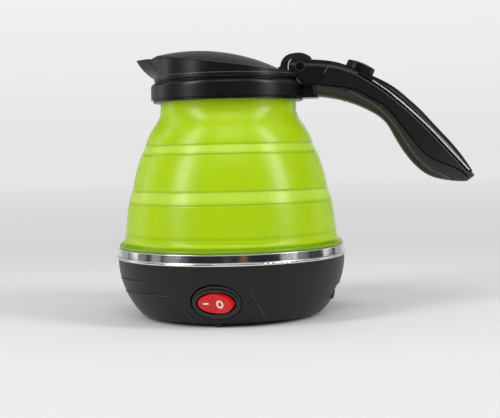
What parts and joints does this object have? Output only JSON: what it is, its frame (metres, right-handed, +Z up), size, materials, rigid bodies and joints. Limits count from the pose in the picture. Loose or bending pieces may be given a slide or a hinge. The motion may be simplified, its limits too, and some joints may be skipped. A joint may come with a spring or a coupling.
{
  "type": "collapsible travel kettle",
  "caption": "Small electric travel kettle with a folding green silicone body, black base, slanted lid, spout and an arched side handle.",
  "frame": {"origin": "centre of the base on the floor, under the feet", "axes": "+X towards the handle, -X towards the spout, -Y towards the switch, +Z up"},
  "size_m": [0.1951, 0.1258, 0.1446],
  "materials": {
    "base_plastic": "warm near-black satin moulding",
    "underside_plastic": "fine textured black",
    "foot_rubber": "matt black rubber",
    "fastener_steel": "zinc plated",
    "pan_steel": "polished stainless sheet",
    "clamp_steel": "plain stainless sheet",
    "silicone_green": "lime green satin silicone, a little translucent",
    "collar_plastic": "matt black with a fine texture",
    "lid_plastic": "grained charcoal",
    "liner_plastic": "plain black",
    "seal_silicone": "pale grey silicone",
    "handle_plastic": "satin black",
    "strip_plastic": "satin black, a shade softer than the shells",
    "button_plastic": "satin black",
    "latch_plastic": "natural acetal",
    "spring_steel": "drawn spring wire",
    "switch_plastic": "satin black",
    "rocker_plastic": "glossy red",
    "inlet_plastic": "black moulding",
    "pin_brass": "plated brass",
    "spreader_aluminium": "mill finish",
    "element_steel": "sheathed tube",
    "thermostat_plastic": "pale ceramic-like moulding",
    "fuse_body": "pale glazed body"
  },
  "bodies": {
    "base": {"base_housing": "base_plastic", "base_plate": "underside_plastic", "feet": "foot_rubber", "base_screws": "fastener_steel", "steel_pan": "pan_steel", "lower_clamp_ring": "clamp_steel", "silicone_lower_tier": "silicone_green", "silicone_middle_tier": "silicone_green", "heat_spreader": "spreader_aluminium", "heating_element": "element_steel", "thermostat": "thermostat_plastic", "thermal_fuse": "fuse_body", "power_inlet": "inlet_plastic", "inlet_pins": "pin_brass", "switch_body": "switch_plastic"},
    "rocker": {"switch_rocker": "rocker_plastic"},
    "collar": {"silicone_upper_tier": "silicone_green", "neck_clamp_ring": "collar_plastic", "collar": "collar_plastic", "handle_upper_shell": "handle_plastic", "handle_lower_shell": "handle_plastic", "handle_back_strip": "strip_plastic", "handle_screws": "fastener_steel", "hinge_pin": "fastener_steel", "lid_spring": "spring_steel", "button_spring": "spring_steel"},
    "lid": {"lid_cover": "lid_plastic", "lid_liner": "liner_plastic", "lid_seal": "seal_silicone", "lid_screws": "fastener_steel"},
    "button": {"lid_button": "button_plastic"},
    "latch": {"latch_slider": "latch_plastic"}
  },
  "joints": [
    {"name": "collapse", "type": "slide", "parent": "base", "child": "collar", "axis": [0, 0, -1], "range_m": [0, 0.052], "deforming": ["silicone_middle_tier"]},
    {"name": "lid_hinge", "type": "hinge", "parent": "collar", "child": "lid", "pos_m": [0.0408, 0, 0.1339], "axis": [0, 1, 0], "range_deg": [0, 80]},
    {"name": "button_press", "type": "slide", "parent": "collar", "child": "button", "axis": [-0.3971, 0, -0.9178], "range_m": [0, 0.0025], "stiffness_N_per_m": 600, "deforming": ["button_spring"]},
    {"name": "latch_slide", "type": "slide", "parent": "collar", "child": "latch", "axis": [1, 0, 0], "range_m": [0, 0.002]},
    {"name": "rocker_switch", "type": "hinge", "parent": "base", "child": "rocker", "pos_m": [0, -0.05487, 0.01388], "axis": [0, -0.342, 0.9397], "range_deg": [0, 18]}
  ],
  "couplings": [
    {"joint": "latch_slide", "follows": "button_press", "ratio": 0.8}
  ]
}
